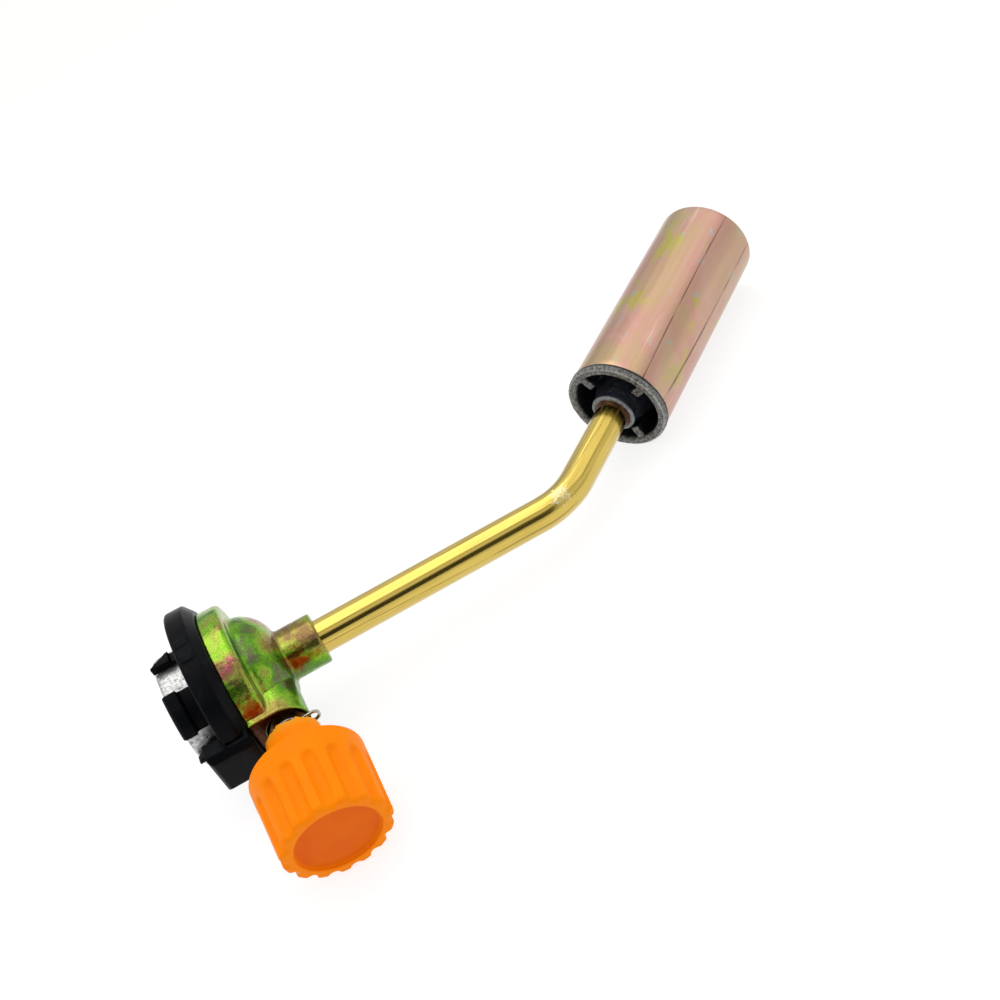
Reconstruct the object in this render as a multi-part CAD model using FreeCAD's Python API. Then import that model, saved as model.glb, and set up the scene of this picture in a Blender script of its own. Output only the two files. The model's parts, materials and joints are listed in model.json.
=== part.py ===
import FreeCAD, Part
import math
import os

# Cartridge-mount blow torch. Millimetres and degrees.
# Frame: the origin is the centre of the collar's seat face, +X runs along the torch axis towards
# the flame, the control knob points to -Y, and the torch lies on its side with +Z up.

# ---- driving dimensions -------------------------------------------------------------------
PIPE_OD = 8.0
PIPE_BORE = 6.0
BEND_ANGLE = 37.3
BEND_CORNER_X = 90.0
BEND_RADIUS = 20.0

COLLAR_R = 20.6
COLLAR_HEIGHT = 5.9
COLLAR_SIDE = 4.1
COLLAR_TOP_R = 18.3
COLLAR_BORE_R = 13.1

FLANGE_R = 17.4
FLANGE_HEIGHT = 5.2
DOME_R = 13.3
DOME_END_X = 18.4
BOSS_R = 6.0
BOSS_END_X = 27.2

KNOB_AXIS_X = 13.0
PORT_CENTRE_X = 12.1
PORT_R = 6.1
PORT_FACE = 17.7
PORT_COUNTERBORE_R = 4.6

KNOB_REAR = 20.4
KNOB_SHOULDER = 28.8
KNOB_FACE = 48.3
KNOB_R = 12.4
KNOB_FACE_R = 11.9
KNOB_NECK_R = 6.05
KNOB_FLUTES = 15
FLUTE_PHASE = 5.5

FLAME_TUBE_OD = 25.0
FLAME_TUBE_WALL = 0.7
FLAME_TUBE_START = 32.5
FLAME_TUBE_END = 92.8
BURNER_RING_R = 12.75
BURNER_RING_REAR = 30.3
BURNER_WINDOW_R = 10.5
HUB_R = 5.6
HUB_REAR = 28.2

SPINDLE_R = 2.0
NUT_BORE_CLEARANCE = 0.06
LAND_CLEARANCE = 0.08
OVERCUT = 1.0
EDGE_TOLERANCE = 0.01

PIPE_R = PIPE_OD / 2
PORT_FLOOR = 13.7
FLANGE_TOP_X = COLLAR_HEIGHT + FLANGE_HEIGHT

X_AXIS = FreeCAD.Vector(1, 0, 0)
Z_AXIS = FreeCAD.Vector(0, 0, 1)
ORIGIN = FreeCAD.Vector(0, 0, 0)
BEND = math.radians(BEND_ANGLE)


# ---- construction helpers -----------------------------------------------------------------
def point(along, radius):
    """A point of a turned profile: distance along the local X axis, and radius."""
    return FreeCAD.Vector(along, 0, radius)


def turned(profile):
    """Solid of revolution about local X from corners given as (along, radius)."""
    corners = [point(*p) for p in profile]
    face = Part.Face(Part.makePolygon(corners + [corners[0]]))
    return face.revolve(ORIGIN, X_AXIS, 360)


def turned_edges(edges):
    """Solid of revolution about local X from a closed run of edges."""
    return Part.Face(Part.Wire(edges)).revolve(ORIGIN, X_AXIS, 360)


def tube(start, end, outer, inner):
    """A plain ring between two distances along local X."""
    return turned([(start, inner), (end, inner), (end, outer), (start, outer)])


def rod(start, end, radius):
    """A plain rod between two distances along local X."""
    return Part.makeCylinder(radius, end - start, FreeCAD.Vector(start, 0, 0), X_AXIS)


def torus(centre_x, ring_radius, wire_radius):
    """An O-ring about local X."""
    return Part.makeTorus(ring_radius, wire_radius, FreeCAD.Vector(centre_x, 0, 0), X_AXIS)


def turn_about_x(shape, angle):
    """Copy of a shape turned about local X."""
    copy = shape.copy()
    copy.rotate(ORIGIN, X_AXIS, angle)
    return copy


def ring_sector(start, end, outer, inner, first_angle, sweep):
    """Part of a ring about local X; angles run from +Y towards +Z."""
    corners = [(start, inner), (end, inner), (end, outer), (start, outer)]
    points = [FreeCAD.Vector(x, r, 0) for x, r in corners]
    face = Part.Face(Part.makePolygon(points + [points[0]]))
    return turn_about_x(face.revolve(ORIGIN, X_AXIS, sweep), first_angle)


def fused(shapes):
    """One solid from several that touch or overlap."""
    return shapes[0].multiFuse(shapes[1:]).removeSplitter()


def on_knob_axis(shape):
    """Places a shape made along local X on the knob's axis, pointing to -Y."""
    copy = shape.copy()
    copy.rotate(ORIGIN, Z_AXIS, -90)
    copy.translate(FreeCAD.Vector(KNOB_AXIS_X, 0, 0))
    return copy


def on_flame_axis(shape):
    """Places a shape made along local X on the flame tube's axis, from the pipe's corner."""
    copy = shape.copy()
    copy.rotate(ORIGIN, Z_AXIS, BEND_ANGLE)
    copy.translate(FreeCAD.Vector(BEND_CORNER_X, 0, 0))
    return copy


# ---- valve body ---------------------------------------------------------------------------
INLET_R = 1.5
INLET_NOSE_R = 4.2
INLET_NOSE_X = -1.5
INLET_END_X = 9.0
PIPE_SOCKET_X = 20.0
OUTLET_R = 2.0
CHAMBER_R = 2.5
NUT_THREAD_R = 3.7
CHAMBER_FLOOR = 2.2
SEAT_THICKNESS = 1.4
SEAT_PORT_R = 0.9
NUT_INNER_END = 8.6


def body_outline():
    """Flange, domed crown and outlet boss as one turned casting."""
    chamfer = 1.1
    flange_edge = 0.4
    crown_side = 1.6
    crown_draft = 0.25
    crown_middle_r = 10.4
    boss_fillet = 0.7
    boss_edge = 0.4
    crown_start = point(FLANGE_TOP_X + crown_side, DOME_R - crown_draft)
    crown_middle = point(DOME_END_X - 1.8, crown_middle_r)
    crown_end = point(DOME_END_X, BOSS_R + 0.5)
    fillet_middle = point(DOME_END_X + 0.2, BOSS_R + 0.2)
    fillet_end = point(DOME_END_X + boss_fillet, BOSS_R)
    corners = [
        point(COLLAR_HEIGHT, 0),
        point(COLLAR_HEIGHT, FLANGE_R),
        point(FLANGE_TOP_X - chamfer, FLANGE_R),
        point(FLANGE_TOP_X - 0.35, FLANGE_R - flange_edge),
        point(FLANGE_TOP_X, FLANGE_R - 1.5),
        point(FLANGE_TOP_X, DOME_R + 0.6),
        point(FLANGE_TOP_X + 0.4, DOME_R),
        crown_start,
    ]
    edges = [Part.makeLine(a, b) for a, b in zip(corners, corners[1:])]
    edges.append(Part.Arc(crown_start, crown_middle, crown_end).toShape())
    edges.append(Part.Arc(crown_end, fillet_middle, fillet_end).toShape())
    boss_end = [
        fillet_end,
        point(BOSS_END_X - boss_edge, BOSS_R),
        point(BOSS_END_X, BOSS_R - boss_edge),
        point(BOSS_END_X, 0),
        corners[0],
    ]
    edges += [Part.makeLine(a, b) for a, b in zip(boss_end, boss_end[1:])]
    return turned_edges(edges)


def port_block():
    """Horseshoe block that carries the knob's port, flat-sided down to the collar."""
    low_x = COLLAR_HEIGHT
    rim_chamfer = 0.35
    a = FreeCAD.Vector(low_x, 0, PORT_R)
    b = FreeCAD.Vector(PORT_CENTRE_X, 0, PORT_R)
    tip = FreeCAD.Vector(PORT_CENTRE_X + PORT_R, 0, 0)
    c = FreeCAD.Vector(PORT_CENTRE_X, 0, -PORT_R)
    d = FreeCAD.Vector(low_x, 0, -PORT_R)
    edges = [
        Part.makeLine(a, b),
        Part.Arc(b, tip, c).toShape(),
        Part.makeLine(c, d),
        Part.makeLine(d, a),
    ]
    block = Part.Face(Part.Wire(edges)).extrude(FreeCAD.Vector(0, -PORT_FACE, 0))
    rim = [
        e for e in block.Edges
        if e.BoundBox.YMax < -PORT_FACE + EDGE_TOLERANCE and e.BoundBox.XMax > low_x + EDGE_TOLERANCE
    ]
    return block.makeChamfer(rim_chamfer, rim)


def valve_body():
    nose = rod(INLET_NOSE_X, COLLAR_HEIGHT, INLET_NOSE_R)
    casting = fused([body_outline(), port_block(), nose])
    inlet = rod(INLET_NOSE_X - OVERCUT, INLET_END_X, INLET_R)
    outlet = rod(KNOB_AXIS_X, PIPE_SOCKET_X + OVERCUT, OUTLET_R)
    socket = rod(PIPE_SOCKET_X, BOSS_END_X + OVERCUT, PIPE_R)
    chamber = rod(CHAMBER_FLOOR, PORT_FLOOR, CHAMBER_R)
    thread = rod(NUT_INNER_END, PORT_FLOOR + OVERCUT, NUT_THREAD_R)
    counterbore = rod(PORT_FLOOR, PORT_FACE + OVERCUT, PORT_COUNTERBORE_R)
    seat_port = rod(-OUTLET_R, CHAMBER_FLOOR + OVERCUT, SEAT_PORT_R)
    drill_start = FreeCAD.Vector(INLET_END_X - 1.2, 0, 0)
    drill_direction = FreeCAD.Vector(0.72, -1, 0)
    drill_length = 6.0
    drilled = Part.makeCylinder(SEAT_PORT_R, drill_length, drill_start, drill_direction)
    casting = casting.cut(fused([inlet, drilled]))
    casting = casting.cut(fused([outlet, socket]))
    casting = casting.cut(on_knob_axis(fused([chamber, thread, counterbore, seat_port])))
    for angle in SCREW_ANGLES:
        hole = rod(COLLAR_HEIGHT - OVERCUT, SCREW_TIP_X + SCREW_HOLE_SPARE, SCREW_R)
        casting = casting.cut(screw_place(hole, angle))
    seal_pocket = rod(INLET_NOSE_X - OVERCUT, SEAL_FLOOR_X, INLET_SEAL_OUTER_R)
    filter_pocket = rod(SEAL_FLOOR_X - 0.1, FILTER_END_X, FILTER_R)
    return casting.cut(fused([seal_pocket, filter_pocket]))


# ---- cartridge collar ---------------------------------------------------------------------
LUG_INNER_R = 13.1
LUG_LEG_R = 14.4
LUG_OUTER_R = 16.0
HOOK_OUTER_R = 15.2
LUG_BOTTOM_X = -6.7
LUG_SHELF_X = -3.4
MAIN_LUG_ANGLES = [133, 313]
MAIN_LUG_SWEEP = 38
HOOK_RAMP_TOP = -2.2
HOOK_LUG_ANGLES = [71, 166, 251]
HOOK_LUG_SWEEP = 14
GRIP_RIBS = [93.5, 104.5]
BLOCK_HALF_WIDTH = 6.3
BLOCK_FACE_Y = -21.2
BLOCK_BOTTOM_X = -4.2
SCREW_ANGLES = [50, 212, 336]
SCREW_PITCH_R = 15.8
SCREW_R = 1.2
SCREW_HEAD_R = 2.1
SCREW_HEAD_DEPTH = 1.8
SCREW_HEAD_CLEARANCE = 0.2
SCREW_TIP_X = 9.9
SCREW_HOLE_SPARE = 0.4
LUG_ROOT_X = 1.0
RING_OUTER_R = 13.0
RING_INNER_R = 9.8
RING_BOTTOM_X = -6.7
RING_FLANGE_R = 14.3
RING_FLANGE_X = 3.0
RING_SHOULDER_X = 1.8


def screw_place(shape, angle):
    """Moves a shape from the torch axis out to a screw position."""
    copy = shape.copy()
    copy.translate(FreeCAD.Vector(0, SCREW_PITCH_R, 0))
    return turn_about_x(copy, angle)


def main_lug(centre_angle):
    """A bayonet lug: a leg that grips under the cartridge rim with an outward shelf."""
    edge_chamfer = 0.7
    longest_side_edge = 5
    first = centre_angle - MAIN_LUG_SWEEP / 2
    leg = ring_sector(LUG_BOTTOM_X, LUG_ROOT_X, LUG_LEG_R, LUG_INNER_R, first, MAIN_LUG_SWEEP)
    shelf = ring_sector(LUG_BOTTOM_X, LUG_SHELF_X, LUG_OUTER_R, LUG_INNER_R, first, MAIN_LUG_SWEEP)
    lug = leg.fuse(shelf).removeSplitter()
    bottom = [
        e for e in lug.Edges
        if e.BoundBox.XMax < LUG_BOTTOM_X + EDGE_TOLERANCE
        and e.Length > longest_side_edge and e.Curve.Radius > LUG_LEG_R
    ]
    return lug.makeChamfer(edge_chamfer, bottom)


def hook_lug(first_angle):
    """A narrow lug whose bottom rises like a ramp, so that it leads the cartridge rim in."""
    leg = ring_sector(LUG_BOTTOM_X, LUG_ROOT_X, LUG_LEG_R, LUG_INNER_R, first_angle, HOOK_LUG_SWEEP)
    shelf = ring_sector(LUG_BOTTOM_X, HOOK_RAMP_TOP, HOOK_OUTER_R, LUG_INNER_R, first_angle, HOOK_LUG_SWEEP)
    lug = leg.fuse(shelf)
    half_width = HOOK_OUTER_R * math.radians(HOOK_LUG_SWEEP) / 2
    inside = LUG_INNER_R - OVERCUT
    wedge_depth = 8
    ramp = [
        FreeCAD.Vector(LUG_BOTTOM_X - OVERCUT, inside, -2 * half_width),
        FreeCAD.Vector(LUG_BOTTOM_X - OVERCUT, inside, 0.9 * half_width),
        FreeCAD.Vector(LUG_BOTTOM_X, inside, 0.75 * half_width),
        FreeCAD.Vector(HOOK_RAMP_TOP, inside, -half_width),
        FreeCAD.Vector(HOOK_RAMP_TOP, inside, -2 * half_width),
    ]
    wedge = Part.Face(Part.makePolygon(ramp + [ramp[0]])).extrude(FreeCAD.Vector(0, wedge_depth, 0))
    return lug.cut(turn_about_x(wedge, first_angle + HOOK_LUG_SWEEP / 2))


def grip_rib(angle):
    """A low rib across the collar's side."""
    height = 0.25
    root_depth = 0.5
    sweep = 4.5
    start = 0.9
    end = COLLAR_SIDE - 0.6
    return ring_sector(start, end, COLLAR_R + height, COLLAR_R - root_depth, angle - sweep / 2, sweep)


def thumb_block():
    """Flat-faced block on the knob side, standing below and beyond the collar."""
    below_flange = 0.4
    height = COLLAR_HEIGHT - below_flange - BLOCK_BOTTOM_X
    depth = 5.0
    side_chamfer = 1.5
    bottom_chamfer = 0.8
    box = Part.makeBox(
        height, depth, 2 * BLOCK_HALF_WIDTH, FreeCAD.Vector(BLOCK_BOTTOM_X, BLOCK_FACE_Y, -BLOCK_HALF_WIDTH)
    )
    outer = [
        e for e in box.Edges
        if abs(e.BoundBox.YMax - BLOCK_FACE_Y) < EDGE_TOLERANCE and e.BoundBox.XLength > EDGE_TOLERANCE
    ]
    box = box.makeChamfer(side_chamfer, outer)
    lower = [
        e for e in box.Edges
        if e.BoundBox.XMax < BLOCK_BOTTOM_X + EDGE_TOLERANCE
        and abs(e.BoundBox.YMax - BLOCK_FACE_Y) < EDGE_TOLERANCE
    ]
    return box.makeChamfer(bottom_chamfer, lower)


def bayonet_collar():
    rim_edge = 0.4
    disc = turned([
        (0, COLLAR_BORE_R), (0, COLLAR_R - rim_edge), (rim_edge, COLLAR_R), (COLLAR_SIDE, COLLAR_R),
        (COLLAR_HEIGHT, COLLAR_TOP_R), (COLLAR_HEIGHT, COLLAR_BORE_R),
    ])
    pieces = [disc, thumb_block()]
    pieces += [grip_rib(angle) for angle in GRIP_RIBS]
    pieces += [main_lug(angle) for angle in MAIN_LUG_ANGLES]
    pieces += [hook_lug(angle) for angle in HOOK_LUG_ANGLES]
    collar = fused(pieces)
    slot_length = COLLAR_HEIGHT + OVERCUT
    slot_depth = 4.0
    slot_width = 0.7
    slot_corner = FreeCAD.Vector(0.6, BLOCK_FACE_Y - OVERCUT, BLOCK_HALF_WIDTH)
    slot = Part.makeBox(slot_length, slot_depth, slot_width, slot_corner)
    collar = collar.cut(slot)
    collar = collar.cut(rod(-0.1, COLLAR_HEIGHT + OVERCUT, COLLAR_BORE_R))
    collar = collar.cut(rod(RING_SHOULDER_X, COLLAR_HEIGHT + OVERCUT, RING_FLANGE_R))
    for angle in SCREW_ANGLES:
        collar = collar.cut(screw_place(rod(-OVERCUT, COLLAR_HEIGHT + OVERCUT, SCREW_R), angle))
        head_hole = rod(-OVERCUT, SCREW_HEAD_DEPTH, SCREW_HEAD_R + SCREW_HEAD_CLEARANCE)
        collar = collar.cut(screw_place(head_hole, angle))
    return collar


def collar_screw():
    """Pan-head screw along local X with a cross recess, head towards -X."""
    head_top = 0.2
    head_edge = 0.7
    head = turned([
        (head_top, 0), (head_top, SCREW_HEAD_R - head_edge), (head_top + head_edge, SCREW_HEAD_R),
        (SCREW_HEAD_DEPTH, SCREW_HEAD_R), (SCREW_HEAD_DEPTH, 0),
    ])
    shank = rod(SCREW_HEAD_DEPTH, SCREW_TIP_X, SCREW_R)
    arm_length = 2.4
    arm_width = 0.5
    arm_depth = 0.9
    arm = Part.makeBox(arm_depth, arm_length, arm_width)
    arm.translate(FreeCAD.Vector(head_top, -arm_length / 2, -arm_width / 2))
    return fused([head, shank]).cut(arm).cut(turn_about_x(arm, 90))


def collar_screws():
    return Part.makeCompound([screw_place(collar_screw(), angle) for angle in SCREW_ANGLES])


# ---- inlet --------------------------------------------------------------------------------
INLET_SEAL_OUTER_R = 3.2
INLET_SEAL_INNER_R = 1.6
SEAL_FLOOR_X = 0.6
PIN_DISC_END_X = 1.2
FILTER_END_X = 2.6
FILTER_R = 2.2
PIN_R = 0.7
PIN_BORE_R = 0.3
PIN_TIP_X = -3.4


def inlet_ring():
    """Metal sleeve around the cartridge valve, with one locating notch."""
    outer_edge = 0.4
    inner_edge = 0.5
    web_inner_r = RING_INNER_R - 2.5
    sleeve = turned([
        (RING_BOTTOM_X, RING_INNER_R + inner_edge), (RING_BOTTOM_X, RING_OUTER_R - outer_edge),
        (RING_BOTTOM_X + outer_edge, RING_OUTER_R), (RING_SHOULDER_X, RING_OUTER_R),
        (RING_SHOULDER_X, RING_FLANGE_R), (COLLAR_HEIGHT, RING_FLANGE_R),
        (COLLAR_HEIGHT, web_inner_r), (RING_FLANGE_X, web_inner_r),
        (RING_FLANGE_X, RING_INNER_R), (RING_BOTTOM_X + inner_edge, RING_INNER_R),
    ])
    notch_depth = 4.2
    notch_reach = 6.0
    notch_width = 3.2
    notch_angle = 48
    notch_corner = FreeCAD.Vector(RING_BOTTOM_X - OVERCUT, 8.5, -notch_width / 2)
    notch = Part.makeBox(notch_depth, notch_reach, notch_width, notch_corner)
    return sleeve.cut(turn_about_x(notch, notch_angle))


def inlet_seal():
    """Rubber washer round the inlet, standing a little proud of the nose."""
    lip = INLET_NOSE_X - 0.7
    edge = 0.4
    return turned([
        (lip, INLET_SEAL_INNER_R + edge), (lip, INLET_SEAL_OUTER_R - edge),
        (lip + edge, INLET_SEAL_OUTER_R), (SEAL_FLOOR_X, INLET_SEAL_OUTER_R),
        (SEAL_FLOOR_X, INLET_SEAL_INNER_R), (lip + edge, INLET_SEAL_INNER_R),
    ])


def inlet_pin():
    """Hollow pin that opens the cartridge valve, on a disc that rests in the body."""
    disc = tube(SEAL_FLOOR_X, PIN_DISC_END_X, FILTER_R, PIN_BORE_R)
    pin = tube(PIN_TIP_X, SEAL_FLOOR_X, PIN_R, PIN_BORE_R)
    return fused([disc, pin])


def inlet_filter():
    return rod(PIN_DISC_END_X, FILTER_END_X, FILTER_R)


# ---- control valve ------------------------------------------------------------------------
SEAT_TOP = CHAMBER_FLOOR + SEAT_THICKNESS
NUT_HEAD_END = 17.0
NUT_NOSE_END = 19.4
NUT_NOSE_R = 3.0
NUT_GROOVE = 0.35
CLIP_PLACE = 18.5
CLIP_WIRE_R = 0.35
SPINDLE_END = 42.0
O_RING_WIRE_R = 0.45
O_RING_PLACES = [5.2, 6.6]
O_RING_GROOVE_R = 1.5
LAND_END = 7.35
CLIP_EAR_R = 1.3
CLIP_REACH = 7.2


def valve_seat():
    """Resilient disc that the needle closes against."""
    return on_knob_axis(tube(CHAMBER_FLOOR, SEAT_TOP, CHAMBER_R, SEAT_PORT_R))


def spindle():
    """Needle spindle: cone, two grooved lands, threaded stem and knurled knob end."""
    land = CHAMBER_R - LAND_CLEARANCE
    half_groove = O_RING_WIRE_R + 0.03
    needle_tip_r = 0.35
    end_chamfer = 0.4
    profile = [
        (SEAT_TOP - 1.0, 0), (SEAT_TOP - 1.0, needle_tip_r), (SEAT_TOP, SEAT_PORT_R - 0.06),
        (SEAT_TOP + 0.5, land - 0.5), (SEAT_TOP + 0.9, land),
    ]
    for place in O_RING_PLACES:
        profile += [(place - half_groove, land), (place - half_groove, O_RING_GROOVE_R)]
        profile += [(place + half_groove, O_RING_GROOVE_R), (place + half_groove, land)]
    profile += [(LAND_END, land), (LAND_END, SPINDLE_R)]
    profile += [(SPINDLE_END - end_chamfer, SPINDLE_R), (SPINDLE_END, SPINDLE_R - end_chamfer)]
    profile.append((SPINDLE_END, 0))
    return on_knob_axis(turned(profile))


def spindle_seals():
    """Two O-rings in the spindle's grooves, running in the chamber bore."""
    groove_gap = 0.01
    ring_r = O_RING_GROOVE_R + O_RING_WIRE_R + groove_gap
    rings = [torus(place, ring_r, O_RING_WIRE_R) for place in O_RING_PLACES]
    return on_knob_axis(Part.makeCompound(rings))


def gland_nut():
    """Nut that closes the chamber and carries the spindle thread; hexagon inside the port."""
    across_flats = 7.4
    half_slot = 0.4
    nose_edge = 0.2
    thread = tube(NUT_INNER_END, PORT_FLOOR, NUT_THREAD_R, SPINDLE_R)
    corner_r = across_flats / 2 / math.cos(math.radians(30))
    corners = []
    for i in range(7):
        turn = math.radians(60 * i)
        corners.append(FreeCAD.Vector(PORT_FLOOR, corner_r * math.cos(turn), corner_r * math.sin(turn)))
    head = Part.Face(Part.makePolygon(corners)).extrude(FreeCAD.Vector(NUT_HEAD_END - PORT_FLOOR, 0, 0))
    nose = turned([
        (NUT_HEAD_END - 1, 0), (NUT_HEAD_END - 1, NUT_NOSE_R), (CLIP_PLACE - half_slot, NUT_NOSE_R),
        (CLIP_PLACE - half_slot, NUT_NOSE_R - NUT_GROOVE), (CLIP_PLACE + half_slot, NUT_NOSE_R - NUT_GROOVE),
        (CLIP_PLACE + half_slot, NUT_NOSE_R), (NUT_NOSE_END - nose_edge, NUT_NOSE_R),
        (NUT_NOSE_END, NUT_NOSE_R - nose_edge), (NUT_NOSE_END, 0),
    ])
    nut = fused([thread, head, nose])
    return on_knob_axis(nut.cut(rod(0, NUT_NOSE_END + OVERCUT, SPINDLE_R + NUT_BORE_CLEARANCE)))


def retaining_clip():
    """Wire clip in the nut's groove, with an ear that stands out beside the port."""
    ring_r = NUT_NOSE_R - NUT_GROOVE + CLIP_WIRE_R
    half_gap = math.degrees(math.asin(CLIP_EAR_R / ring_r))
    leg_start = ring_r * math.cos(math.radians(half_gap))
    leg_end = CLIP_REACH - CLIP_EAR_R - CLIP_WIRE_R
    centre = FreeCAD.Vector(CLIP_PLACE, 0, 0)
    ring = Part.makeTorus(ring_r, CLIP_WIRE_R, centre, X_AXIS, -180, 180, 360 - 2 * half_gap)
    ear = Part.makeTorus(CLIP_EAR_R, CLIP_WIRE_R, centre, X_AXIS, -180, 180, 180)
    ear = turn_about_x(ear, 180)
    ear.translate(FreeCAD.Vector(0, leg_end, 0))
    pieces = [turn_about_x(ring, half_gap - 90), ear]
    for side in (CLIP_EAR_R, -CLIP_EAR_R):
        root = FreeCAD.Vector(CLIP_PLACE, leg_start, side)
        pieces.append(Part.makeCylinder(CLIP_WIRE_R, leg_end - leg_start, root, FreeCAD.Vector(0, 1, 0)))
        pieces.append(Part.makeSphere(CLIP_WIRE_R, root))
    return on_knob_axis(fused(pieces))


def knob_blank():
    """Turned shape of the knob: neck, rounded shoulder, tapered grip and recessed face."""
    shoulder_flat_r = 8.9
    fillet_end = KNOB_SHOULDER + 1.3
    centre_turn = math.radians(45)
    fillet_span_r = KNOB_R - shoulder_flat_r
    fillet_span_x = fillet_end - KNOB_SHOULDER
    fillet_start = point(KNOB_SHOULDER, shoulder_flat_r)
    fillet_middle = point(
        fillet_end - fillet_span_x * math.sin(centre_turn),
        shoulder_flat_r + fillet_span_r * math.cos(centre_turn),
    )
    grip_start = point(fillet_end, KNOB_R)
    recess_depth = 0.8
    recess_r = 9.1
    rim_edge = 0.4
    outside = [
        grip_start, point(KNOB_FACE - rim_edge, KNOB_FACE_R), point(KNOB_FACE, KNOB_FACE_R - 0.35),
        point(KNOB_FACE, recess_r), point(KNOB_FACE - recess_depth, recess_r - 0.25),
        point(KNOB_FACE - recess_depth, 0), point(KNOB_REAR, 0), point(KNOB_REAR, KNOB_NECK_R),
        point(KNOB_SHOULDER - 0.4, KNOB_NECK_R + 0.35), point(KNOB_SHOULDER, KNOB_NECK_R + 0.75),
        fillet_start,
    ]
    edges = [Part.Arc(fillet_start, fillet_middle, grip_start).toShape()]
    edges += [Part.makeLine(a, b) for a, b in zip(outside, outside[1:])]
    return turned_edges(edges)


def knob():
    """Fluted hand knob; its hollow neck clears the gland nut."""
    body = knob_blank()
    flute_r = 1.75
    flute_depth = 1.0
    flute_start = 36.4
    rear_centre = KNOB_R - 0.1 + flute_r - flute_depth
    face_centre = KNOB_FACE_R + flute_r - flute_depth
    direction = FreeCAD.Vector(KNOB_FACE + OVERCUT - flute_start, face_centre - rear_centre, 0)
    start = FreeCAD.Vector(flute_start, rear_centre, 0)
    cutter = Part.makeCylinder(flute_r, direction.Length, start, direction)
    cutter = fused([cutter, Part.makeSphere(flute_r, start, direction)])
    step = 360 / KNOB_FLUTES
    cutters = [turn_about_x(cutter, i * step + FLUTE_PHASE) for i in range(KNOB_FLUTES)]
    body = body.cut(Part.makeCompound(cutters))
    socket_r = 4.4
    socket = rod(KNOB_REAR - OVERCUT, KNOB_SHOULDER + 1.5, socket_r)
    bore = rod(KNOB_SHOULDER, SPINDLE_END, SPINDLE_R)
    teeth = 12
    notch_depth = 0.7
    notch_reach = 3.5
    notch_width = 1.3
    notch_corner = FreeCAD.Vector(KNOB_REAR - 0.1, socket_r - 0.5, -notch_width / 2)
    notch = Part.makeBox(notch_depth, notch_reach, notch_width, notch_corner)
    notches = [turn_about_x(notch, i * 360 / teeth) for i in range(teeth)]
    return on_knob_axis(body.cut(fused([socket, bore])).cut(Part.makeCompound(notches)))


# ---- gas pipe -----------------------------------------------------------------------------
PIPE_END = 37.0
JET_START = PIPE_END - 4


def gas_pipe():
    """Straight run from the body, one bend, and a straight run into the burner hub."""
    setback = BEND_RADIUS * math.tan(BEND / 2)
    start = FreeCAD.Vector(PIPE_SOCKET_X, 0, 0)
    bend_start = FreeCAD.Vector(BEND_CORNER_X - setback, 0, 0)
    bend_end = FreeCAD.Vector(BEND_CORNER_X + setback * math.cos(BEND), setback * math.sin(BEND), 0)
    half = BEND / 2
    bend_middle = FreeCAD.Vector(
        bend_start.x + BEND_RADIUS * math.sin(half), BEND_RADIUS * (1 - math.cos(half)), 0
    )
    end = FreeCAD.Vector(BEND_CORNER_X + PIPE_END * math.cos(BEND), PIPE_END * math.sin(BEND), 0)
    path = Part.Wire([
        Part.makeLine(start, bend_start),
        Part.Arc(bend_start, bend_middle, bend_end).toShape(),
        Part.makeLine(bend_end, end),
    ])
    shells = []
    for radius in (PIPE_R, PIPE_BORE / 2):
        section = Part.Wire(Part.makeCircle(radius, start, X_AXIS))
        shells.append(path.makePipeShell([section], True, True))
    return shells[0].cut(shells[1])


def braze_ring():
    """Fillet of braze where the pipe enters the burner hub."""
    leg = 0.8
    return on_flame_axis(turned([
        (HUB_REAR - leg, PIPE_R), (HUB_REAR, PIPE_R + leg), (HUB_REAR, PIPE_R),
    ]))


# ---- burner -------------------------------------------------------------------------------
SPOKE_ANGLES = [43, 137, 243, 317]
SPOKE_WIDTH = 2.2
SPOKE_INNER_R = 7.3
SPOKE_REAR = 30.8
SPIGOT_END = 38.5
HUB_END = 38.5
FLARE_R = 8.7
CONE_END = 52.0
FLAME_TUBE_R = FLAME_TUBE_OD / 2
FLAME_TUBE_BORE_R = FLAME_TUBE_R - FLAME_TUBE_WALL


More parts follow.
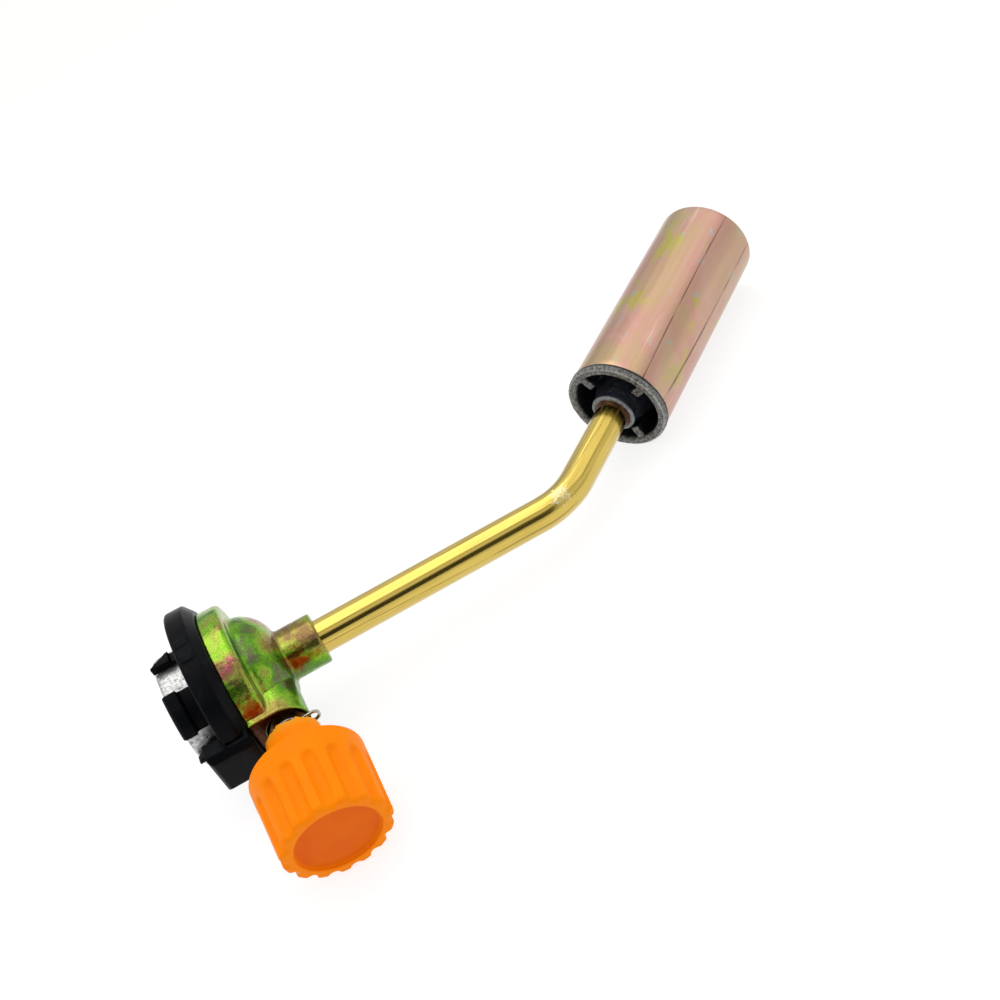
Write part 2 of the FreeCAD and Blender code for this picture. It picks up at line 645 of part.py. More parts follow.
def burner_head():
    """Cast rear ring with four stub spokes, a flared hub and a spigot inside the flame tube."""
    window_edge = 0.4
    ring_front = FLAME_TUBE_START - 0.1
    ring = turned([
        (BURNER_RING_REAR, BURNER_WINDOW_R + window_edge), (BURNER_RING_REAR, BURNER_RING_R - 0.5),
        (BURNER_RING_REAR + 0.2, BURNER_RING_R - 0.15), (BURNER_RING_REAR + 0.6, BURNER_RING_R),
        (ring_front, BURNER_RING_R), (ring_front, FLAME_TUBE_BORE_R),
        (SPIGOT_END, FLAME_TUBE_BORE_R), (SPIGOT_END, BURNER_WINDOW_R),
        (BURNER_RING_REAR + window_edge, BURNER_WINDOW_R),
    ])
    hub_side_end = point(HUB_REAR + 2, HUB_R)
    flare_middle = point(HUB_REAR + 6, HUB_R + 1.2)
    flare_rim = point(HUB_END - 0.8, FLARE_R)
    outline = [
        flare_rim, point(HUB_END, FLARE_R), point(HUB_END, 0), point(HUB_REAR, 0),
        point(HUB_REAR, HUB_R - 0.5), point(HUB_REAR + 0.5, HUB_R), hub_side_end,
    ]
    edges = [Part.Arc(hub_side_end, flare_middle, flare_rim).toShape()]
    edges += [Part.makeLine(start, end) for start, end in zip(outline, outline[1:])]
    hub = turned_edges(edges)
    spokes = []
    for angle in SPOKE_ANGLES:
        spoke = Part.makeBox(
            SPIGOT_END - 1 - SPOKE_REAR, BURNER_WINDOW_R + 0.3 - SPOKE_INNER_R, SPOKE_WIDTH,
            FreeCAD.Vector(SPOKE_REAR, SPOKE_INNER_R, -SPOKE_WIDTH / 2),
        )
        spokes.append(turn_about_x(spoke, angle))
    head = fused([ring, hub] + spokes)
    return on_flame_axis(head.cut(rod(HUB_REAR - OVERCUT, HUB_END + OVERCUT, PIPE_R)))


def gas_jet():
    """Orifice plug pressed into the end of the pipe."""
    head_r = PIPE_R - 0.3
    nose_r = 2.2
    head_end = PIPE_END + 1.2
    nose_end = PIPE_END + 2.2
    entry_r = 1.2
    orifice_r = 0.25
    body = turned([
        (JET_START, 0), (JET_START, PIPE_BORE / 2), (PIPE_END, PIPE_BORE / 2),
        (PIPE_END, head_r), (head_end, head_r), (nose_end, nose_r), (nose_end, 0),
    ])
    entry = rod(JET_START - OVERCUT, head_end, entry_r)
    orifice = rod(PIPE_END, nose_end + OVERCUT, orifice_r)
    return on_flame_axis(body.cut(fused([entry, orifice])))


def jet_filter():
    """Sintered plug behind the jet."""
    length = 4.0
    return on_flame_axis(rod(JET_START - length, JET_START, PIPE_BORE / 2))


def mixing_cone():
    """Flared mixing tube that draws air in around the jet and feeds the flame holder."""
    wall = 0.6
    mouth_r = 6.8
    throat_x = HUB_END + 4
    throat_r = 5.4
    end_r = 8.6
    cone = turned([
        (HUB_END, mouth_r), (throat_x, throat_r), (CONE_END, end_r), (CONE_END, end_r - wall),
        (throat_x, throat_r - wall), (HUB_END, mouth_r - wall),
    ])
    air_hole_r = 1.1
    air_hole_count = 4
    air_hole_start = FreeCAD.Vector(HUB_END + 2.2, 0, 0)
    air_holes = []
    for i in range(air_hole_count):
        hole = Part.makeCylinder(air_hole_r, mouth_r + OVERCUT, air_hole_start, FreeCAD.Vector(0, 1, 0))
        air_holes.append(turn_about_x(hole, i * 360 / air_hole_count))
    return on_flame_axis(cone.cut(Part.makeCompound(air_holes)))


def flame_holder():
    """Perforated disc that steadies the flame across the tube."""
    front = CONE_END + 1.2
    middle_hole_r = 2.6
    hole_rings = [(5.4, 8, 1.1), (9.6, 14, 0.9)]
    disc = rod(CONE_END, front, FLAME_TUBE_BORE_R)
    holes = [rod(CONE_END - OVERCUT, front + OVERCUT, middle_hole_r)]
    for ring_r, count, hole_r in hole_rings:
        for i in range(count):
            hole = rod(CONE_END - OVERCUT, front + OVERCUT, hole_r)
            hole.translate(FreeCAD.Vector(0, ring_r, 0))
            holes.append(turn_about_x(hole, i * 360 / count))
    return on_flame_axis(disc.cut(Part.makeCompound(holes)))


def flame_tube():
    edge = 0.2
    return on_flame_axis(turned([
        (FLAME_TUBE_START, FLAME_TUBE_BORE_R), (FLAME_TUBE_START, FLAME_TUBE_R - edge),
        (FLAME_TUBE_START + edge, FLAME_TUBE_R), (FLAME_TUBE_END - edge, FLAME_TUBE_R),
        (FLAME_TUBE_END, FLAME_TUBE_R - edge), (FLAME_TUBE_END, FLAME_TUBE_BORE_R),
    ]))


# ---- parts --------------------------------------------------------------------------------
PARTS = {
    "valve_body": valve_body,
    "bayonet_collar": bayonet_collar,
    "collar_screws": collar_screws,
    "inlet_ring": inlet_ring,
    "inlet_seal": inlet_seal,
    "inlet_pin": inlet_pin,
    "inlet_filter": inlet_filter,
    "valve_seat": valve_seat,
    "spindle": spindle,
    "spindle_seals": spindle_seals,
    "gland_nut": gland_nut,
    "retaining_clip": retaining_clip,
    "knob": knob,
    "gas_pipe": gas_pipe,
    "braze_ring": braze_ring,
    "burner_head": burner_head,
    "gas_jet": gas_jet,
    "jet_filter": jet_filter,
    "mixing_cone": mixing_cone,
    "flame_holder": flame_holder,
    "flame_tube": flame_tube,
}

os.makedirs("parts", exist_ok=True)
for name, make in PARTS.items():
    shape = make()
    shape.exportStep("parts/" + name + ".step")
    print(name, "solids", len(shape.Solids), "valid", shape.isValid(), "volume", round(shape.Volume, 1))
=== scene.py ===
import json
import math

import bpy
from mathutils import Matrix, Quaternion, Vector, noise

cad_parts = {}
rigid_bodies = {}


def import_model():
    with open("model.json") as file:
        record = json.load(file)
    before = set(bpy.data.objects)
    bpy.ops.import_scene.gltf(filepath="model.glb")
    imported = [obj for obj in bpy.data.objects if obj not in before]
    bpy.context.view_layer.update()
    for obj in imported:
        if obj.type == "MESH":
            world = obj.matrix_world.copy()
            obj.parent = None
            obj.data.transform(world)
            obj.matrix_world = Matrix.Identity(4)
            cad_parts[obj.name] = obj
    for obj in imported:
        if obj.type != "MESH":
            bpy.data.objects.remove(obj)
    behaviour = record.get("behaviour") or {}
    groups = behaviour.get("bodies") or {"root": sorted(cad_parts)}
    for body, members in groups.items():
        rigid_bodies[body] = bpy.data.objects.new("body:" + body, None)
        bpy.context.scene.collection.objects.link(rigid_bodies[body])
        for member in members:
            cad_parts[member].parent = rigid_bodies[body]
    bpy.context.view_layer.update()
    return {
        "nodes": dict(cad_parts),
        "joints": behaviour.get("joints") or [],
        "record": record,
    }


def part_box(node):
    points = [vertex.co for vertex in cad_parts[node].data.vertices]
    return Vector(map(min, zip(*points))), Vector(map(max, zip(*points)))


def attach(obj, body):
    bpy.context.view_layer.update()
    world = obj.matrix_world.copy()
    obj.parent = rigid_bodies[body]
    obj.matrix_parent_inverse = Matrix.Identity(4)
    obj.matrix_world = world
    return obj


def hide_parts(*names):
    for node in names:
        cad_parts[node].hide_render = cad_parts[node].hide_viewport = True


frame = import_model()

# The looks of a cartridge blow torch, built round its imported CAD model. Metres and degrees.
# Frame: +X along the gas pipe towards the flame, +Z up, the knob points to -Y.

MM = 0.001
MOUNTS = {mount["name"]: mount for mount in frame["record"]["mounts"]}
JOINTS = {joint["name"]: joint for joint in frame["joints"]}
FIXED = JOINTS["spindle_feed"]["parent"]
TURNING = JOINTS["knob_turn"]["child"]

# ---- axes and sizes read from the frame ----------------------------------------------------
TUBE_MOUNT = MOUNTS["flame_tube_outside"]
FLAME_DIRECTION = Vector(TUBE_MOUNT["axis"]).normalized()
FLAME_MIDDLE = Vector(TUBE_MOUNT["pos_m"])
PIPE_CORNER = FLAME_MIDDLE - FLAME_DIRECTION * (FLAME_MIDDLE.y / FLAME_DIRECTION.y)
BEND = math.atan2(FLAME_DIRECTION.y, FLAME_DIRECTION.x)
KNOB_AXIS = Vector(JOINTS["knob_turn"]["pos_m"])

# ---- marks on the casting, each at a place on its surface --------------------------------------
PATCH_SHIFT = (0.31, 0.12, 0.05)
PATCH_SCALE = 78.0
PINK_MARK = (0.0085, -0.0085, 0.0152)
PINK_CORE, PINK_EDGE = 0.0006, 0.0024
ORANGE_MARKS = ((0.0205, -0.0048, 0.0030), (0.0085, -0.0150, 0.0080))
ORANGE_CORE, ORANGE_EDGE = 0.0014, 0.0034
# Where the port's end face starts, for the painted shade and reflection of the knob on it.
PORT_END = -0.0177
CASTING_GRAIN = 2700.0


def axis_frame(origin, direction):
    """Matrix that lays local X along a direction, with local Z as near to +Z as it can be."""
    x = Vector(direction).normalized()
    y = Vector((0, 0, 1)).cross(x).normalized()
    z = x.cross(y)
    matrix = Matrix((x, y, z)).transposed().to_4x4()
    matrix.translation = origin
    return matrix


FLAME_FRAME = axis_frame(PIPE_CORNER, FLAME_DIRECTION)
KNOB_FRAME = axis_frame(KNOB_AXIS, (0, -1, 0))


def srgb(red, green, blue):
    """Linear colour from the everyday 0 to 255 values."""
    linear = []
    for value in (red, green, blue):
        share = value / 255
        linear.append(share / 12.92 if share < 0.04045 else ((share + 0.055) / 1.055) ** 2.4)
    return (*linear, 1.0)


# ---- node helpers ----------------------------------------------------------------------------
class Material:
    """A node material with short calls for the nodes that the finishes below are made of."""

    def __init__(self, name, roughness=0.5, metallic=0.0, specular=0.5):
        self.material = bpy.data.materials.new(name)
        self.material.use_nodes = True
        self.tree = self.material.node_tree
        self.tree.nodes.clear()
        output = self.tree.nodes.new("ShaderNodeOutputMaterial")
        self.shader = self.tree.nodes.new("ShaderNodeBsdfPrincipled")
        self.shader.inputs["Roughness"].default_value = roughness
        self.shader.inputs["Metallic"].default_value = metallic
        self.shader.inputs["Specular IOR Level"].default_value = specular
        self.tree.links.new(self.shader.outputs["BSDF"], output.inputs["Surface"])
        self.place = self.add("ShaderNodeTexCoord").outputs["Object"]
        self.normal = self.add("ShaderNodeTexCoord").outputs["Normal"]

    def add(self, kind, inputs=None, **settings):
        node = self.tree.nodes.new(kind)
        for name, value in settings.items():
            setattr(node, name, value)
        for name, value in (inputs or {}).items():
            self.put(node.inputs[name], value)
        return node

    def put(self, socket, value):
        if isinstance(value, bpy.types.NodeSocket):
            self.tree.links.new(value, socket)
        else:
            socket.default_value = value

    def set(self, **values):
        for name, value in values.items():
            self.put(self.shader.inputs[name.replace("_", " ")], value)

    def maths(self, operation, a, b=0.0):
        return self.add("ShaderNodeMath", {0: a, 1: b}, operation=operation).outputs[0]

    def vector(self, operation, a, b):
        return self.add("ShaderNodeVectorMath", {0: a, 1: b}, operation=operation)

    def dot(self, a, b):
        return self.vector("DOT_PRODUCT", a, b).outputs["Value"]

    def scaled(self, vector, scale):
        return self.vector("MULTIPLY", vector, scale).outputs["Vector"]

    def attribute(self, name):
        return self.add("ShaderNodeAttribute", attribute_name=name).outputs["Vector"]

    def noise(self, vector, scale, detail=3.0, roughness=0.55, distortion=0.0):
        inputs = {"Vector": vector, "Scale": scale, "Detail": detail, "Roughness": roughness}
        inputs["Distortion"] = distortion
        return self.add("ShaderNodeTexNoise", inputs).outputs["Fac"]

    def cells(self, vector, scale):
        inputs = {"Vector": vector, "Scale": scale}
        return self.add("ShaderNodeTexVoronoi", inputs).outputs["Distance"]

    def fit(self, value, low, high, to_low=0.0, to_high=1.0):
        inputs = {"Value": value, "From Min": low, "From Max": high, "To Min": to_low, "To Max": to_high}
        return self.add("ShaderNodeMapRange", inputs, interpolation_type="SMOOTHSTEP").outputs[0]

    def sway(self, value, reach):
        """Turns a noise value into a shift of up to reach either way."""
        return self.fit(value, 0.3, 0.7, -reach, reach)

    def ramp(self, value, stops):
        """Colour for a value, between stops that are each a position and a colour."""
        node = self.add("ShaderNodeValToRGB", {0: value})
        elements = node.color_ramp.elements
        while len(elements) < len(stops):
            elements.new(0.5)
        for element, (position, colour) in zip(elements, stops):
            element.position = position
            element.color = colour
        return node.outputs["Color"]

    def mix(self, share, a, b, blend="MIX"):
        node = self.add("ShaderNodeMix", data_type="RGBA", blend_type=blend)
        for index, value in ((0, share), (6, a), (7, b)):
            self.put(node.inputs[index], value)
        return node.outputs[2]

    def bump(self, height, distance, strength=1.0, normal=None):
        inputs = {"Height": height, "Distance": distance, "Strength": strength}
        if normal is not None:
            inputs["Normal"] = normal
        return self.add("ShaderNodeBump", inputs).outputs["Normal"]

    def along_and_off(self, origin, direction):
        """Distance along an axis and distance from it, of the shaded point."""
        offset = self.vector("SUBTRACT", self.place, tuple(origin)).outputs["Vector"]
        along = self.dot(offset, tuple(direction))
        across = self.vector("CROSS_PRODUCT", offset, tuple(direction)).outputs["Vector"]
        return along, self.add("ShaderNodeVectorMath", {0: across}, operation="LENGTH").outputs["Value"]


# ---- finishes --------------------------------------------------------------------------------
def chromate_casting():
    """Yellow-chromated zinc die casting: patches of iridescent skin over a grainy surface."""
    m = Material("chromate_casting", metallic=0.9)
    patches = m.vector("ADD", m.place, PATCH_SHIFT).outputs["Vector"]
    drift = m.fit(m.noise(patches, PATCH_SCALE, 2.0, 0.5, 0.8), 0.30, 0.70, 0.42, 0.98)
    blotch = m.sway(m.noise(m.place, 330.0, 3.0, 0.6, 0.5), 0.09)
    skin = m.ramp(m.maths("ADD", drift, blotch), [
        (0.00, srgb(132, 114, 112)),
        (0.22, srgb(124, 104, 98)),
        (0.36, srgb(104, 106, 76)),
        (0.50, srgb(96, 152, 38)),
        (0.64, srgb(132, 184, 48)),
        (0.78, srgb(154, 168, 68)),
        (0.92, srgb(152, 136, 68)),
        (1.00, srgb(134, 106, 68)),
    ])
    pink = m.fit(m.noise(m.scaled(m.place, (210.0, 150.0, 150.0)), 1.0, 2.0), 0.62, 0.70, 0.0, 0.5)
    skin = m.mix(pink, skin, srgb(150, 88, 86))
    reach = m.vector("DISTANCE", m.place, PINK_MARK).outputs["Value"]
    ragged = m.maths("ADD", reach, m.sway(m.noise(m.place, 600.0), 0.0010))
    skin = m.mix(m.fit(ragged, PINK_EDGE, PINK_CORE, 0.0, 0.8), skin, srgb(178, 92, 104))
    rust = 0.0
    for mark in ORANGE_MARKS:
        reach = m.vector("DISTANCE", m.place, mark).outputs["Value"]
        ragged = m.maths("ADD", reach, m.sway(m.noise(m.place, 800.0), 0.0012))
        rust = m.maths("MAXIMUM", rust, m.fit(ragged, ORANGE_EDGE, ORANGE_CORE, 0.0, 0.8))
    skin = m.mix(rust, skin, srgb(150, 66, 20))
    # Painted shade and painted reflection: the port's end face, turned to the knob, is coloured dark brown
    # as if shaded by the knob and mirroring its orange.
    to_knob = m.dot(m.normal, (0.0, -1.0, 0.0))
    across = m.add("ShaderNodeSeparateXYZ", {0: m.place}).outputs[1]
    near_end = m.fit(across, PORT_END + 0.0010, PORT_END + 0.0004)
    knob_shade_and_reflection = m.maths("MULTIPLY", m.fit(to_knob, 0.80, 0.95), near_end)
    skin = m.mix(knob_shade_and_reflection, skin, srgb(78, 46, 24))
    grain = m.noise(m.place, CASTING_GRAIN, 3.0, 0.7)
    speckle = m.fit(grain, 0.38, 0.60, 0.70, 1.04)
    grey = m.add("ShaderNodeCombineColor", {0: speckle, 1: speckle, 2: speckle}).outputs[0]
    skin = m.mix(1.0, skin, grey, "MULTIPLY")
    m.set(Base_Color=skin, Roughness=m.fit(grain, 0.3, 0.7, 0.13, 0.25))
    rough_cast = m.bump(m.noise(m.place, 900.0, 2.0), 0.00008, 0.4)
    m.set(Normal=m.bump(grain, 0.00004, 0.85, rough_cast))
    return m.material


def draw_marks(m, run, base, spacing, width, darkness, colour):
    """Fine broken draw lines along a tube, all the way round it and as far apart as chance puts them."""
    wander = m.noise(m.scaled(run, (5.0, spacing, spacing)), 1.0, 0.0)
    line = m.fit(m.maths("ABSOLUTE", m.maths("SUBTRACT", wander, 0.5)), width, width / 3)
    worn = m.noise(m.scaled(run, (70.0, 700.0, 700.0)), 1.0, 3.0, 0.6)
    return m.mix(m.maths("MULTIPLY", line, m.fit(worn, 0.62, 0.42, 0.1, darkness)), base, colour)


def drawn_brass():
    """Polished drawn brass tube: hairlines along its run, a scuffed patch on the bend."""
    m = Material("drawn_brass", metallic=1.0)
    run = m.attribute("run")
    hairlines = m.noise(m.scaled(run, (40.0, 2600.0, 2600.0)), 1.0, 2.0, 0.5)
    fine = m.noise(m.scaled(run, (12.0, 900.0, 900.0)), 1.0, 2.0, 0.5)
    base = m.ramp(m.noise(m.scaled(run, (60.0, 260.0, 260.0)), 1.0), [
        (0.30, srgb(203, 174, 70)),
        (0.62, srgb(212, 184, 80)),
    ])
    dark = m.fit(hairlines, 0.60, 0.70)
    base = m.mix(m.maths("MULTIPLY", dark, 0.5), base, srgb(120, 96, 34))
    base = draw_marks(m, run, base, 300.0, 0.016, 0.6, srgb(110, 84, 28))
    scuff_centre = m.add("ShaderNodeCombineXYZ", {0: SCUFF_ALONG, 1: SCUFF_SIDE.x, 2: SCUFF_SIDE.y})
    to_scuff = m.vector("DISTANCE", run, scuff_centre.outputs[0]).outputs["Value"]
    edge = m.maths("ADD", to_scuff, m.sway(m.noise(m.place, 900.0), 0.0012))
    scuffed = m.fit(edge, SCUFF_EDGE, SCUFF_CORE)
    sparkle = m.cells(m.place, 2300.0)
    glint = m.maths("MULTIPLY", scuffed, m.fit(sparkle, 0.2, 0.5, 0.1, 0.7))
    base = m.mix(glint, base, srgb(240, 226, 178))
    heat = m.add("ShaderNodeSeparateXYZ", {0: run}).outputs[0]
    browned = m.fit(heat, HEAT_START, HEAT_START + HEAT_FADE, 0.0, 0.85)
    m.set(Base_Color=m.mix(browned, base, srgb(112, 62, 24)))
    roughness = m.maths("ADD", m.fit(fine, 0.3, 0.7, 0.12, 0.22), m.maths("MULTIPLY", scuffed, 0.2))
    smooth = m.bump(hairlines, 0.000006, 0.6)
    m.set(Coat_Weight=0.9, Coat_Roughness=0.08)
    m.set(Roughness=roughness, Normal=m.bump(sparkle, 0.00014, m.maths("MULTIPLY", scuffed, 0.45), smooth))
    return m.material


def plated_tube():
    """Flame tube: iridescent plating in pinkish tan, with yellow-green and blue-grey patches."""
    m = Material("plated_tube", metallic=1.0)
    run = m.attribute("run")
    clouds = m.noise(m.scaled(run, (38.0, 90.0, 90.0)), 1.0, 3.0, 0.55, 0.7)
    base = m.ramp(clouds, [
        (0.30, srgb(186, 160, 122)),
        (0.42, srgb(190, 156, 126)),
        (0.52, srgb(196, 148, 136)),
        (0.62, srgb(198, 160, 142)),
        (0.72, srgb(184, 166, 120)),
    ])
    streaks = m.noise(m.scaled(run, (14.0, 420.0, 420.0)), 1.0, 3.0, 0.6)
    base = m.mix(m.fit(streaks, 0.42, 0.70, 0.0, 0.30), base, srgb(210, 176, 160))
    scratches = m.noise(m.scaled(run, (24.0, 1500.0, 1500.0)), 1.0, 2.0, 0.6)
    base = m.mix(m.fit(scratches, 0.66, 0.76, 0.0, 0.55), base, srgb(236, 214, 200))
    yellow = m.noise(m.scaled(run, (62.0, 120.0, 120.0)), 1.0, 5.0, 0.66, 0.4)
    base = m.mix(m.fit(yellow, 0.565, 0.65, 0.0, 0.85), base, srgb(184, 176, 84))
    spots = m.vector("ADD", run, (0.31, 0.17, 0.05)).outputs["Vector"]
    blue = m.noise(m.scaled(spots, (130.0, 230.0, 230.0)), 1.0, 3.0, 0.6, 0.4)
    base = m.mix(m.fit(blue, 0.61, 0.68, 0.0, 0.7), base, srgb(166, 176, 168))
    broad = m.noise(m.scaled(run, (16.0, 60.0, 60.0)), 1.0, 2.0)
    base = m.mix(m.fit(broad, 0.52, 0.74, 0.0, 0.5), base, srgb(172, 154, 112))
    # Broken dark draw lines along the tube, which also stand as painted reflection of the dark softbox
    # edges.
    base = draw_marks(m, run, base, 110.0, 0.016, 0.75, srgb(96, 66, 56))
    along, off = m.along_and_off(PIPE_CORNER, FLAME_DIRECTION)
    inside = m.fit(off, TUBE_R - 0.0002, TUBE_R - 0.0005)
    soot = m.ramp(m.noise(m.place, 260.0, 4.0), [(0.3, srgb(58, 48, 42)), (0.7, srgb(98, 78, 62))])
    m.set(Base_Color=m.mix(inside, base, soot))
    grain = m.noise(m.place, 2400.0, 2.0)
    m.set(Roughness=m.fit(streaks, 0.3, 0.7, 0.26, 0.36))
    m.set(Normal=m.bump(grain, 0.00002, 0.5, m.bump(streaks, 0.00003, 0.4)))
    return m.material


def grey_casting():
    """Burner casting: speckled grey ring and hub, blue-black heat scale where the flame has been, the same
    blue-black as painted shade on the ring's inner wall, and a painted shadow band where the flame tube
    meets the ring.
    """
    m = Material("grey_casting", metallic=0.35)
    grain = m.noise(m.place, 1500.0, 4.0, 0.7)
    grey = m.ramp(grain, [
        (0.36, srgb(30, 30, 30)), (0.44, srgb(84, 83, 81)), (0.56, srgb(116, 114, 111)),
        (0.68, srgb(160, 158, 154)),
    ])
    along, off = m.along_and_off(PIPE_CORNER, FLAME_DIRECTION)
    # Blue-black inside the ring's window: heat scale on the hub's flare and painted shade on the ring's
    # inner wall; the bare spoke faces stay grey.
    within = m.fit(off, BURNER_WINDOW_R + 0.0006, BURNER_WINDOW_R + 0.0003)
    ahead = m.fit(along, HUB_REAR + 0.0002, HUB_REAR + 0.0007)
    scale = m.ramp(m.noise(m.place, 420.0, 3.0), [(0.35, srgb(13, 15, 19)), (0.7, srgb(38, 44, 54))])
    spoke_face = m.fit(along, SPOKE_REAR + 0.0006, SPOKE_REAR + 0.0003)
    near_ring = m.fit(off, SPOKE_INNER_R - 0.0002, SPOKE_INNER_R)
    bare = m.maths("MULTIPLY", spoke_face, near_ring)
    dark = m.maths("MULTIPLY", m.maths("MULTIPLY", within, ahead), m.maths("SUBTRACT", 1.0, bare))
    # Painted shadow: a dark band where the ring meets the flame tube's rear lip.
    tube_start = TUBE_MIDDLE - TUBE_REACH
    at_joint = m.fit(along, tube_start - 0.0008, tube_start - 0.0005)
    joint = m.maths("MULTIPLY", m.fit(off, BURNER_WINDOW_R + 0.0012, BURNER_WINDOW_R + 0.0016), at_joint)
    dark = m.maths("MAXIMUM", dark, joint)
    edge = m.maths("ABSOLUTE", m.maths("SUBTRACT", off, BURNER_RING_R - 0.00045))
    wear = m.maths("MULTIPLY", m.fit(edge, 0.00030, 0.00010), m.fit(grain, 0.35, 0.55, 0.2, 0.8))
    grey = m.mix(wear, grey, srgb(168, 167, 163))
    hub = m.fit(off, HUB_R + 0.0006, HUB_R + 0.0002)
    smooth_grey = m.ramp(m.noise(m.place, 900.0, 2.0), [
        (0.35, srgb(104, 106, 108)), (0.65, srgb(146, 148, 150)),
    ])
    grey = m.mix(m.maths("MULTIPLY", hub, 0.8), grey, smooth_grey)
    m.set(Base_Color=m.mix(dark, grey, scale), Roughness=m.fit(grain, 0.3, 0.7, 0.36, 0.60))
    m.set(Normal=m.bump(grain, 0.00010, 0.8, m.bump(m.noise(m.place, 520.0), 0.00016, 0.5)))
    return m.material


def black_plastic():
    """Near-black moulded plastic with a faint slate sheen and rubbed spots."""
    m = Material("black_plastic", specular=0.06)
    rubbed = m.noise(m.place, 190.0, 4.0, 0.65)
    base = m.ramp(rubbed, [(0.35, srgb(4, 5, 8)), (0.60, srgb(10, 12, 16)), (0.78, srgb(28, 32, 40))])
    grain = m.noise(m.place, 1900.0, 2.0)
    m.set(Base_Color=base, Roughness=m.fit(rubbed, 0.3, 0.75, 0.40, 0.26))
    m.set(Normal=m.bump(grain, 0.00003, 0.6, m.bump(m.noise(m.place, 240.0), 0.00012, 0.35)))
    return m.material


def orange_plastic():
    """Saturated orange moulded plastic, darker red-orange on the recessed face as painted shade, paler and
    yellower at the rough rear of the neck.
    """
    m = Material("orange_plastic", specular=0.06)
    flow = m.noise(m.place, 120.0, 3.0, 0.5, 0.8)
    base = m.ramp(flow, [(0.30, srgb(250, 131, 0)), (0.70, srgb(253, 137, 0))])
    along, off = m.along_and_off(KNOB_AXIS, (0, -1, 0))
    # Painted shade: the recessed face is darkened to a deeper red-orange, as if less light reached it.
    painted_recess_shade = m.maths("MULTIPLY", m.fit(off, RECESS_R + 0.0003, RECESS_R - 0.0008),
                   m.fit(along, KNOB_FACE - 0.0030, KNOB_FACE - 0.0020))
    painted_recess_shade = m.maths("MULTIPLY", painted_recess_shade, m.fit(m.noise(m.place, 160.0), 0.3, 0.7, 0.86, 1.0))
    base = m.mix(painted_recess_shade, base, srgb(226, 97, 2))
    ragged = m.maths("ADD", along, m.sway(m.noise(m.place, 900.0), 0.0006))
    base = m.mix(m.fit(ragged, KNOB_REAR + 0.0030, KNOB_REAR + 0.0006, 0.0, 0.8), base, srgb(226, 158, 40))
    grain = m.noise(m.place, 1500.0, 2.0)
    m.set(Base_Color=base, Roughness=m.fit(flow, 0.3, 0.7, 0.40, 0.52))
    m.set(Normal=m.bump(grain, 0.00003, 0.35))
    m.shader.inputs["Subsurface Weight"].default_value = 0.12
    m.shader.inputs["Subsurface Radius"].default_value = (1.0, 0.35, 0.05)
    m.shader.inputs["Subsurface Scale"].default_value = 0.0012
    return m.material


def pitted_aluminium():
    """Bright, rough-turned aluminium with dark pits."""
    m = Material("pitted_aluminium", metallic=0.9)
    cloud = m.noise(m.place, 1500.0, 4.0, 0.7)
    pits = m.fit(m.cells(m.place, 1900.0), 0.26, 0.12)
    base = m.ramp(cloud, [
        (0.30, srgb(112, 112, 113)), (0.46, srgb(184, 184, 184)), (0.66, srgb(212, 212, 211)),
    ])
    base = m.mix(m.maths("MULTIPLY", pits, 0.45), base, srgb(70, 70, 70))
    m.set(Base_Color=base, Roughness=m.fit(cloud, 0.3, 0.7, 0.48, 0.28))
    m.set(Normal=m.bump(cloud, 0.00012, 0.6, m.bump(pits, -0.0001, 0.6)))
    return m.material


def turned_metal(name, light, dark, roughness):
    """Small turned or drawn metal parts, with fine tool marks and slight tarnish."""
    m = Material(name, metallic=1.0)
    tarnish = m.noise(m.place, 320.0, 4.0, 0.6)
    m.set(Base_Color=m.ramp(tarnish, [(0.35, dark), (0.65, light)]))
    marks = m.noise(m.scaled(m.place, (600.0, 4200.0, 600.0)), 1.0, 2.0)
    m.set(Roughness=m.fit(tarnish, 0.3, 0.7, roughness + 0.12, roughness))
    m.set(Normal=m.bump(marks, 0.00002, 0.4))
    return m.material


def heated_braze():
    """Braze fillet, browned and reddened by heat."""
    m = Material("heated_braze", metallic=0.8)
    cloud = m.noise(m.place, 900.0, 4.0, 0.65)
    m.set(Base_Color=m.ramp(cloud, [
        (0.30, srgb(30, 19, 12)), (0.50, srgb(72, 44, 22)), (0.70, srgb(112, 76, 40)),
    ]))
    m.set(Roughness=m.fit(cloud, 0.3, 0.7, 0.5, 0.3), Normal=m.bump(cloud, 0.0001, 0.5))
    return m.material


def small_plain(name, light, dark, roughness):
    """Rubber and nylon pieces: two close shades and a fine matte grain."""
    m = Material(name, specular=0.35)
    cloud = m.noise(m.place, 700.0, 4.0)
    m.set(Base_Color=m.ramp(cloud, [(0.35, dark), (0.65, light)]))
    m.set(Roughness=m.fit(cloud, 0.3, 0.7, roughness + 0.1, roughness - 0.1))
    m.set(Normal=m.bump(m.noise(m.place, 2400.0, 2.0), 0.00003, 0.5))
    return m.material


# ---- shapes ----------------------------------------------------------------------------------
RIPPLE_SCALE = 900.0


def mesh_object(name, vertices, faces, runs=None, crease=40.0):
    """A smooth-shaded object; runs, if given, is each point's place along and round its tube."""
    mesh = bpy.data.meshes.new(name)
    mesh.from_pydata(vertices, [], faces)
    mesh.validate()
    if runs:
        layer = mesh.attributes.new("run", "FLOAT_VECTOR", "POINT")
        layer.data.foreach_set("vector", [value for run in runs for value in run])
    mesh.shade_smooth()
    mesh.set_sharp_from_angle(angle=math.radians(crease))
    obj = bpy.data.objects.new(name, mesh)
    bpy.context.scene.collection.objects.link(obj)
    return obj


def finish_piece(obj, node, material, body=FIXED):
    """Gives a piece its material and its body, and hides the CAD node that it stands for."""
    obj.data.materials.clear()
    obj.data.materials.append(material)
    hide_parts(node)
    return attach(obj, body)


